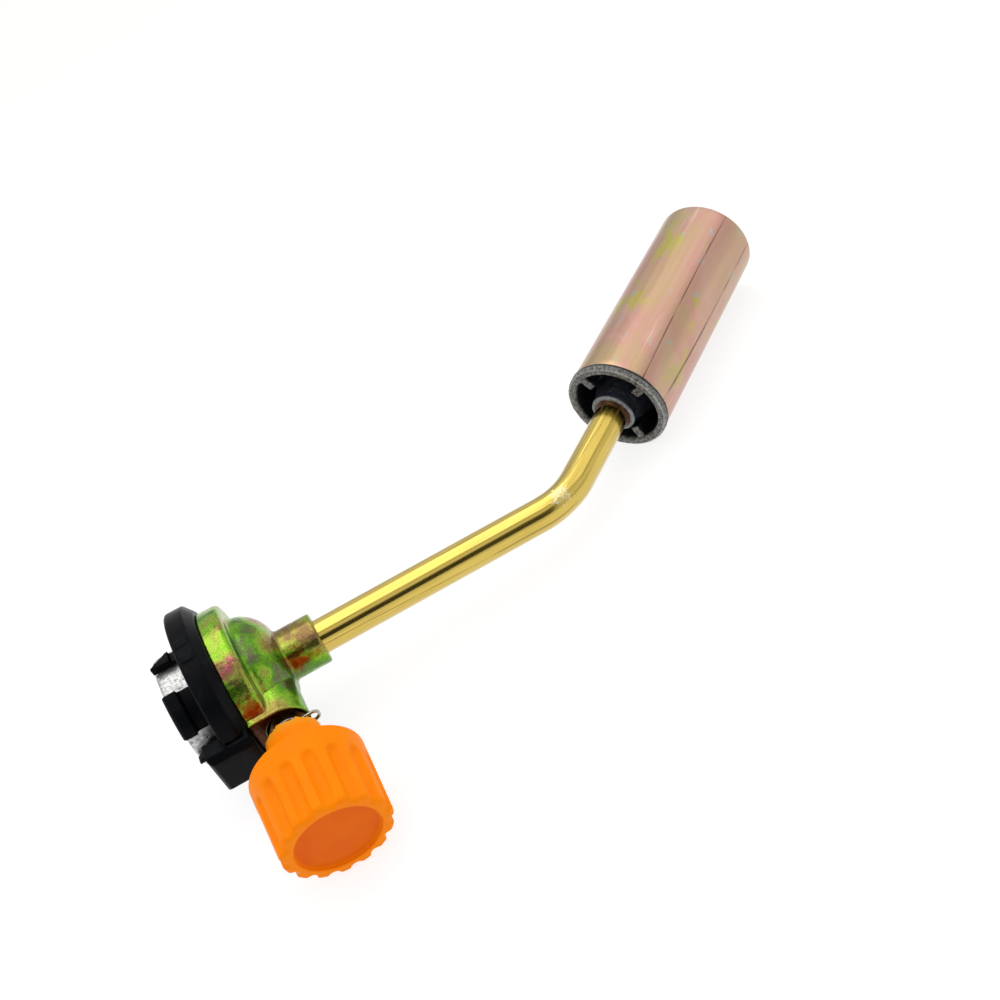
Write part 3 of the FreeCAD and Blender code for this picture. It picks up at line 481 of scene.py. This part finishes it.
def ring_faces(rings, segments, closed):
    """Quads between neighbouring rings of points; closed joins the last ring to the first."""
    faces = []
    for i in range(rings if closed else rings - 1):
        this, following = i * segments, (i + 1) % rings * segments
        for j in range(segments):
            k = (j + 1) % segments
            faces.append((this + j, following + j, following + k, this + k))
    return faces


def lathe(name, profile, segments, place, shape=None, closed=True, crease=40.0):
    """Turns (along, radius) points about local X; shape(along, radius, angle) may vary them."""
    vertices, runs = [], []
    for along, radius in profile:
        for j in range(segments):
            angle = 2 * math.pi * j / segments
            a, r = shape(along, radius, angle) if shape else (along, radius)
            vertices.append(place @ Vector((a, r * math.cos(angle), r * math.sin(angle))))
            runs.append((a, r * math.cos(angle), r * math.sin(angle)))
    return mesh_object(name, vertices, ring_faces(len(profile), segments, closed), runs, crease)


def arc_points(centre, radius, first, last, count):
    """Points of a profile arc; angles in degrees from the along direction towards the radius."""
    points = []
    for i in range(count + 1):
        turn = math.radians(first + (last - first) * i / count)
        points.append((centre[0] + radius * math.cos(turn), centre[1] + radius * math.sin(turn)))
    return points


def line_points(start, end, count):
    """Evenly spaced points from start up to, but not including, end."""
    return [
        (start[0] + (end[0] - start[0]) * i / count, start[1] + (end[1] - start[1]) * i / count)
        for i in range(count)
    ]


def remade(node, name, voxel, smoothing, ripple):
    """A copy of a CAD node with softened, cast-like edges and a fine uneven surface."""
    obj = bpy.data.objects.new(name, frame["nodes"][node].data.copy())
    bpy.context.scene.collection.objects.link(obj)
    remesh = obj.modifiers.new("remesh", "REMESH")
    remesh.mode = "VOXEL"
    remesh.voxel_size = voxel
    smooth = obj.modifiers.new("smooth", "SMOOTH")
    smooth.factor = 0.5
    smooth.iterations = smoothing
    graph = bpy.context.evaluated_depsgraph_get()
    mesh = bpy.data.meshes.new_from_object(obj.evaluated_get(graph))
    obj.modifiers.clear()
    obj.data = mesh
    if ripple:
        normals = [vertex.normal.copy() for vertex in mesh.vertices]
        for vertex, normal in zip(mesh.vertices, normals):
            vertex.co += normal * ripple * (noise.noise(vertex.co * RIPPLE_SCALE) - 1)
    mesh.shade_smooth()
    return obj


# ---- gas pipe --------------------------------------------------------------------------------
BEND_RADIUS = 0.020
PIPE_LOW, PIPE_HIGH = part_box("gas_pipe")
PIPE_R = PIPE_HIGH.z
PIPE_SETBACK = BEND_RADIUS * math.tan(BEND / 2)
PIPE_REACH = (PIPE_HIGH.x - PIPE_CORNER.x - PIPE_R * math.sin(BEND)) / math.cos(BEND)
FIRST_RUN = PIPE_CORNER.x - PIPE_SETBACK - PIPE_LOW.x
BEND_RUN = BEND_RADIUS * BEND
PIPE_LENGTH = FIRST_RUN + BEND_RUN + PIPE_REACH - PIPE_SETBACK
HEAT_START = PIPE_LENGTH - 0.0112
HEAT_FADE = 0.0022
SCUFF_ALONG = FIRST_RUN + BEND_RUN * 0.42
SCUFF_SIDE = Vector((-0.40, 0.915)) * PIPE_R
SCUFF_CORE, SCUFF_EDGE = 0.0014, 0.0024


def pipe_station(run):
    """Centre and heading angle of the pipe at a distance along it."""
    if run < FIRST_RUN:
        return Vector((PIPE_LOW.x + run, 0, 0)), 0.0
    turn = min((run - FIRST_RUN) / BEND_RADIUS, BEND)
    start_x = PIPE_LOW.x + FIRST_RUN
    centre = Vector((start_x + BEND_RADIUS * math.sin(turn), BEND_RADIUS * (1 - math.cos(turn)), 0))
    beyond = run - FIRST_RUN - BEND_RADIUS * turn
    return centre + Vector((math.cos(turn), math.sin(turn), 0)) * beyond, turn


def gas_pipe():
    """The bent tube, a little oval in its bend, with its bore."""
    segments = 72
    stations = 150
    wall = 0.001
    oval = 0.035
    vertices, runs = [], []
    sides = [(PIPE_R, range(stations + 1)), (PIPE_R - wall, range(stations, -1, -1))]
    for radius, order in sides:
        for i in order:
            run = PIPE_LENGTH * i / stations
            centre, turn = pipe_station(run)
            across = Vector((-math.sin(turn), math.cos(turn), 0))
            squeeze = 1 - oval * math.sin(math.pi * turn / BEND) ** 2
            for j in range(segments):
                angle = 2 * math.pi * j / segments
                side = across * (math.cos(angle) * radius * squeeze)
                vertices.append(centre + side + Vector((0, 0, math.sin(angle) * radius)))
                runs.append((run, PIPE_R * math.cos(angle), PIPE_R * math.sin(angle)))
    faces = ring_faces(2 * (stations + 1), segments, True)
    return mesh_object("gas_pipe_tube", vertices, faces, runs)


# ---- flame tube and burner ---------------------------------------------------------------------
TUBE_R = TUBE_MOUNT["dims"]["r_mm"] * MM
TUBE_EDGE = 0.0002
TUBE_WALL = 0.0007
TUBE_UNEVENNESS = 0.00003
TUBE_MIDDLE = (FLAME_MIDDLE - PIPE_CORNER).length
TUBE_REACH = TUBE_MOUNT["dims"]["length_mm"] * MM / 2 + TUBE_EDGE
BURNER_WINDOW_R = 0.0105
BURNER_RING_R = 0.01275
HUB_R = 0.0056
HUB_REAR = 0.0282
SPOKE_REAR = 0.0308
SPOKE_INNER_R = 0.0073


def flame_tube():
    """Thin tube with rounded lips and the faint unevenness of rolled sheet."""
    start, end = TUBE_MIDDLE - TUBE_REACH, TUBE_MIDDLE + TUBE_REACH
    half_wall = TUBE_WALL / 2
    mid_r = TUBE_R - half_wall
    inner_r = mid_r - half_wall
    profile = line_points((start + half_wall, TUBE_R), (end - half_wall, TUBE_R), 40)
    profile += arc_points((end - half_wall, mid_r), half_wall, 90, -90, 8)
    profile += line_points((end - half_wall, inner_r), (start + half_wall, inner_r), 40)[1:]
    profile += arc_points((start + half_wall, mid_r), half_wall, 270, 90, 8)[:-1]

    def uneven(along, radius, angle):
        wave = noise.noise((along * 60, math.cos(angle) * 1.3, math.sin(angle) * 1.3))
        return along, radius - TUBE_UNEVENNESS * (1 + wave)

    return lathe("flame_tube_shell", profile, 160, FLAME_FRAME, uneven)


def braze_ring():
    """Lumpy fillet of braze between pipe and hub."""
    fillet = 0.00055
    lump_height = 0.00016
    profile = [(HUB_REAR + 0.0001, PIPE_R - 0.0001), (HUB_REAR - fillet, PIPE_R - 0.0001)]
    profile += arc_points((HUB_REAR - fillet, PIPE_R + fillet), fillet, -90, 0, 8)
    profile.append((HUB_REAR + 0.0001, PIPE_R + fillet))

    def lumpy(along, radius, angle):
        lump = noise.noise((along * 900, math.cos(angle) * 2.4, math.sin(angle) * 2.4))
        outside = min(1.0, max(0.0, (radius - PIPE_R) / 0.0005))
        return along, radius + lump_height * lump * outside

    return lathe("braze_fillet", profile, 96, FLAME_FRAME, lumpy)


# ---- knob --------------------------------------------------------------------------------------
KNOB_LOW, KNOB_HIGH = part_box("knob")
KNOB_REAR = -KNOB_HIGH.y
KNOB_FACE = -KNOB_LOW.y
KNOB_R = (KNOB_HIGH.z - KNOB_LOW.z) / 2
KNOB_TAPER = 0.0005
FLUTES = 15
FLUTE_PHASE = 5.5
FLUTE_DEPTH = 0.0010
FLUTE_R = 0.00175
FLUTE_EDGE = 0.00012
FLUTE_START = 0.0347
FLUTE_RUN_IN = 0.0024
RECESS_R = 0.0091
NECK_R = 0.00605
NECK_BORE_R = 0.0044
SHOULDER = 0.0288
TOOTH_DEPTH = 0.0007


def smooth_step(share):
    share = min(1.0, max(0.0, share))
    return share * share * (3 - 2 * share)


def knob_profile():
    """From the neck's bore, over the shoulder and grip, to the middle of the recessed face."""
    bore_end = 0.0303
    neck_end = SHOULDER - 0.00035
    shoulder_r = 0.0089
    grip_start = SHOULDER + 0.0013
    grip_r, face_r = KNOB_R, KNOB_R - KNOB_TAPER
    rim = 0.0011
    recess_r = RECESS_R
    recess = 0.0008
    spindle_r = 0.00205
    profile = line_points((bore_end, spindle_r), (bore_end, NECK_BORE_R), 3)
    profile += line_points((bore_end, NECK_BORE_R), (KNOB_REAR + 0.0002, NECK_BORE_R), 10)
    profile += line_points((KNOB_REAR, NECK_BORE_R + 0.0002), (KNOB_REAR, NECK_R - 0.0002), 3)
    profile += line_points((KNOB_REAR + 0.0002, NECK_R), (neck_end, NECK_R + 0.00035), 20)
    profile += arc_points((neck_end, NECK_R + 0.0007), 0.00035, -90, 0, 5)
    profile += line_points((SHOULDER, NECK_R + 0.0008), (SHOULDER, shoulder_r), 6)
    shoulder = arc_points((0, 0), 1.0, 180, 90, 26)
    for cosine, sine in shoulder:
        along = grip_start + (grip_start - SHOULDER) * cosine
        profile.append((along, shoulder_r + (grip_r - shoulder_r) * sine))
    profile += line_points((grip_start, grip_r), (KNOB_FACE - rim, face_r), 44)[1:]
    profile += arc_points((KNOB_FACE - rim, face_r - rim), rim, 90, 0, 6)
    profile += line_points((KNOB_FACE, face_r - rim), (KNOB_FACE, recess_r + 0.0003), 8)[1:]
    profile += arc_points((KNOB_FACE - 0.0003, recess_r + 0.0003), 0.0003, 0, -90, 4)
    profile += arc_points((KNOB_FACE - recess + 0.0003, recess_r - 0.0003), 0.0003, 90, 180, 4)
    profile += line_points((KNOB_FACE - recess, recess_r - 0.0004), (KNOB_FACE - recess, 0.00001), 10)
    profile.append((KNOB_FACE - recess, 0.00001))
    return profile


def knob_shape(along, radius, angle):
    """Cuts the flutes into the grip and tears the neck's rear edge."""
    if along < KNOB_REAR + 0.0012 and radius > NECK_BORE_R - 0.0001:
        torn = noise.noise((math.cos(angle) * 5.2, math.sin(angle) * 5.2, 1.7))
        teeth = abs(math.sin(angle * 9.5 + 2 * torn))
        share = 1 if along < KNOB_REAR + 0.0005 else 0.3
        along += (0.35 + 0.65 * teeth + 0.5 * torn) * TOOTH_DEPTH * share
    step = 2 * math.pi / FLUTES
    phase = (angle - math.radians(FLUTE_PHASE)) / step
    offset = (phase - round(phase)) * step * KNOB_R
    if along > FLUTE_START:
        reach = min(1.0, (along - FLUTE_START) / FLUTE_RUN_IN)
        depth = FLUTE_DEPTH * math.sqrt(1 - (1 - reach) ** 2)
        cut = math.sqrt(max(FLUTE_R * FLUTE_R - offset * offset, 0.0)) - (FLUTE_R - depth)
        cut = (cut + math.sqrt(cut * cut + FLUTE_EDGE * FLUTE_EDGE)) / 2
        radius -= cut * smooth_step((radius - RECESS_R - 0.0003) / (KNOB_R - 0.0012 - RECESS_R))
    return along, radius


def knob():
    return lathe("knob_grip", knob_profile(), FLUTES * 28, KNOB_FRAME, knob_shape, closed=False)


# ---- making the object ---------------------------------------------------------------------------
BRASS_LIGHT, BRASS_DARK = srgb(214, 180, 92), srgb(150, 116, 48)
STEEL_LIGHT, STEEL_DARK = srgb(206, 206, 208), srgb(128, 128, 132)
BRONZE_LIGHT, BRONZE_DARK = srgb(164, 124, 72), srgb(96, 70, 40)

casting = chromate_casting()
collar_plastic = black_plastic()
brass = turned_metal("turned_brass", BRASS_LIGHT, BRASS_DARK, 0.22)
dull_brass = turned_metal("dull_brass", srgb(150, 112, 58), srgb(70, 50, 28), 0.34)
steel = turned_metal("plated_steel", STEEL_LIGHT, STEEL_DARK, 0.24)
wire = turned_metal("spring_wire", srgb(196, 194, 186), srgb(96, 94, 88), 0.18)
scaled_steel = turned_metal("heat_scaled_steel", srgb(92, 80, 72), srgb(44, 40, 40), 0.42)
bronze = turned_metal("sintered_bronze", BRONZE_LIGHT, BRONZE_DARK, 0.55)
rubber = small_plain("black_rubber", srgb(34, 34, 35), srgb(18, 18, 19), 0.62)
aluminium = pitted_aluminium()
burner_metal = grey_casting()
nylon = small_plain("natural_nylon", srgb(226, 222, 206), srgb(206, 200, 182), 0.42)

# Node, piece, voxel size, smoothing passes, depth of the ripple, slot and material.
REMADE_PIECES = (
    ("valve_body", "valve_casting", 0.00024, 5, 0.00004, "valve_casting", casting),
    ("bayonet_collar", "collar_moulding", 0.00022, 4, 0.0, "collar_plastic", collar_plastic),
    ("inlet_ring", "inlet_sleeve", 0.00022, 4, 0.00005, "ring_aluminium", aluminium),
    ("burner_head", "burner_casting", 0.00018, 5, 0.00007, "burner_casting", burner_metal),
)
for node, piece, voxel, passes, ripple, slot, material in REMADE_PIECES:
    finish_piece(remade(node, piece, voxel, passes, ripple), node, material)
finish_piece(gas_pipe(), "gas_pipe", drawn_brass())
finish_piece(braze_ring(), "braze_ring", heated_braze())
finish_piece(flame_tube(), "flame_tube", plated_tube())
finish_piece(knob(), "knob", orange_plastic(), TURNING)

CAD_FINISHES = {
    "collar_screws": steel, "inlet_seal": rubber, "inlet_pin": brass, "inlet_filter": bronze,
    "valve_seat": nylon, "spindle": brass, "spindle_seals": rubber, "gland_nut": dull_brass,
    "retaining_clip": wire, "gas_jet": brass, "jet_filter": bronze, "mixing_cone": scaled_steel,
    "flame_holder": scaled_steel,
}
for name, material in CAD_FINISHES.items():
    for material_slot in frame["nodes"][name].material_slots:
        material_slot.material = material

# ---- floor ---------------------------------------------------------------------------------------
FLOOR_SIZE = 1.3
REST_NODES = ("bayonet_collar", "flame_tube", "knob")


def resting_plane():
    """Height and slopes of the plane that touches collar, flame tube and knob from below."""
    height, slope_x, slope_y = 0.0, 0.0, 0.0
    for _ in range(12):
        touches = []
        for node in REST_NODES:
            points = [vertex.co for vertex in frame["nodes"][node].data.vertices]
            touches.append(min(points, key=lambda p: p.z - slope_x * p.x - slope_y * p.y).copy())
        a, b, c = touches
        normal = (b - a).cross(c - a)
        slope_x, slope_y = -normal.x / normal.z, -normal.y / normal.z
        height = a.z - slope_x * a.x - slope_y * a.y
    return height, slope_x, slope_y


def floor():
    height, slope_x, slope_y = resting_plane()
    half = FLOOR_SIZE / 2
    corners = [(-half, -half), (half, -half), (half, half), (-half, half)]
    vertices = [(x, y, height + slope_x * x + slope_y * y) for x, y in corners]
    obj = mesh_object("studio_floor", vertices, [(0, 1, 2, 3)])
    m = Material("studio_floor", roughness=0.9, specular=0.1)
    pale = m.ramp(m.noise(m.place, 3.0), [(0.3, srgb(128, 128, 129)), (0.7, srgb(131, 131, 132))])
    m.set(Base_Color=pale)
    m.shader.inputs["Emission Color"].default_value = (1.0, 1.0, 1.0, 1.0)
    m.shader.inputs["Emission Strength"].default_value = 0.82
    obj.data.materials.append(m.material)


floor()

# ---- light ---------------------------------------------------------------------------------------
KEY_CENTRE = Vector((0.0, 0.3305, 0.9438))
KEY_ACROSS = Vector((0.0, -0.9438, 0.3305))
KEY_CORE = 0.28
KEY_HALF_WIDTH = 1.30
KEY_HALF_DEPTH = 0.54
KEY_STRENGTH = 1.5
SPILL_STRENGTH = 0.48
DARK_HEIGHT = 0.585
DARK_DEPTH = 0.95
RIM_PLACE = 0.72
RIM_DEPTH = 0.3
HORIZON_DEPTH = 0.35
ROOM = 0.86
SEAM_SLOPE = 0.562
SEAM_OFFSET = 0.118
WARM_WHITE = (1.0, 1.0, 0.985, 1.0)


def studio_light():
    """A pale room with one wide overhead softbox, seamed across, and a dark stretch on the knob's side."""
    world = bpy.data.worlds.new("studio")
    bpy.context.scene.world = world
    world.use_nodes = True
    tree = world.node_tree
    tree.nodes.clear()

    def node(kind, inputs=None, **settings):
        made = tree.nodes.new(kind)
        for name, value in settings.items():
            setattr(made, name, value)
        for name, value in (inputs or {}).items():
            if isinstance(value, bpy.types.NodeSocket):
                tree.links.new(value, made.inputs[name])
            else:
                made.inputs[name].default_value = value
        return made

    def maths(operation, a, b=0.0):
        return node("ShaderNodeMath", {0: a, 1: b}, operation=operation).outputs[0]

    def fit(value, low, high):
        inputs = {"Value": value, "From Min": low, "From Max": high}
        return node("ShaderNodeMapRange", inputs, interpolation_type="SMOOTHSTEP").outputs[0]

    sight = node("ShaderNodeTexCoord").outputs["Generated"]

    def along(direction):
        made = node("ShaderNodeVectorMath", {0: sight, 1: tuple(direction)}, operation="DOT_PRODUCT")
        return made.outputs["Value"]

    depth = maths("MAXIMUM", along(KEY_CENTRE), 0.05)
    wide = maths("ABSOLUTE", maths("DIVIDE", along((1, 0, 0)), depth))
    across = maths("DIVIDE", along(KEY_ACROSS), depth)
    middle = maths("MULTIPLY", fit(wide, KEY_CORE + 0.10, KEY_CORE - 0.10), KEY_STRENGTH - SPILL_STRENGTH)
    spill = maths("MULTIPLY", fit(wide, KEY_HALF_WIDTH + 0.2, KEY_HALF_WIDTH - 0.2), SPILL_STRENGTH)
    inside = maths("MULTIPLY", maths("ADD", middle, spill),
                   fit(maths("ABSOLUTE", across), KEY_HALF_DEPTH + 0.05, KEY_HALF_DEPTH - 0.05))
    sideways = maths("DIVIDE", along((1, 0, 0)), depth)
    joint = maths("SUBTRACT", maths("ADD", across, maths("MULTIPLY", sideways, SEAM_SLOPE)), SEAM_OFFSET)
    seam = fit(maths("ABSOLUTE", joint), 0.012, 0.032)
    key = maths("MULTIPLY", inside, seam)
    dark_height = fit(maths("ABSOLUTE", maths("SUBTRACT", along((0, 0, 1)), DARK_HEIGHT)), 0.235, 0.165)
    dark_width = fit(maths("ABSOLUTE", along((1, 0, 0))), 0.50, 0.34)
    dark_side = fit(along((0, -1, 0)), 0.3, 0.45)
    dark = maths("MULTIPLY", maths("MULTIPLY", dark_height, dark_width), dark_side)
    line = fit(along((0, 0, 1)), 0.13, 0.04)
    rim = fit(maths("ABSOLUTE", maths("SUBTRACT", across, RIM_PLACE)), 0.10, 0.05)
    room = ROOM
    for shade, depth_of_shade in ((dark, DARK_DEPTH), (line, HORIZON_DEPTH), (rim, RIM_DEPTH)):
        room = maths("MULTIPLY", room, maths("SUBTRACT", 1.0, maths("MULTIPLY", shade, depth_of_shade)))
    strength = maths("ADD", room, key)
    seen = node("ShaderNodeLightPath").outputs["Is Camera Ray"]
    strength = node("ShaderNodeMix", {0: seen, 2: strength, 3: 1.0}).outputs[0]
    glow = node("ShaderNodeBackground", {"Color": WARM_WHITE, "Strength": strength})
    output = node("ShaderNodeOutputWorld")
    tree.links.new(glow.outputs[0], output.inputs["Surface"])


studio_light()

# ---- camera --------------------------------------------------------------------------------------
CAMERA_PLACE = Vector((0.03829, -0.18702, 0.20898))
CAMERA_AZIMUTH = 11.366
CAMERA_ELEVATION = 46.093
CAMERA_ROLL = -20.515
CAMERA_LENS = 44.974
SENSOR = 36.0


def camera():
    data = bpy.data.cameras.new("camera")
    data.lens = CAMERA_LENS
    data.sensor_width = SENSOR
    data.clip_start = 0.01
    obj = bpy.data.objects.new("camera", data)
    bpy.context.scene.collection.objects.link(obj)
    azimuth, elevation = math.radians(CAMERA_AZIMUTH), math.radians(CAMERA_ELEVATION)
    level = math.cos(elevation)
    sight = Vector((math.sin(azimuth) * level, math.cos(azimuth) * level, -math.sin(elevation)))
    obj.location = CAMERA_PLACE
    obj.rotation_mode = "QUATERNION"
    roll = Quaternion((0, 0, 1), math.radians(CAMERA_ROLL))
    obj.rotation_quaternion = sight.to_track_quat("-Z", "Y") @ roll
    bpy.context.scene.camera = obj


camera()
bpy.context.scene.view_settings.view_transform = "Standard"
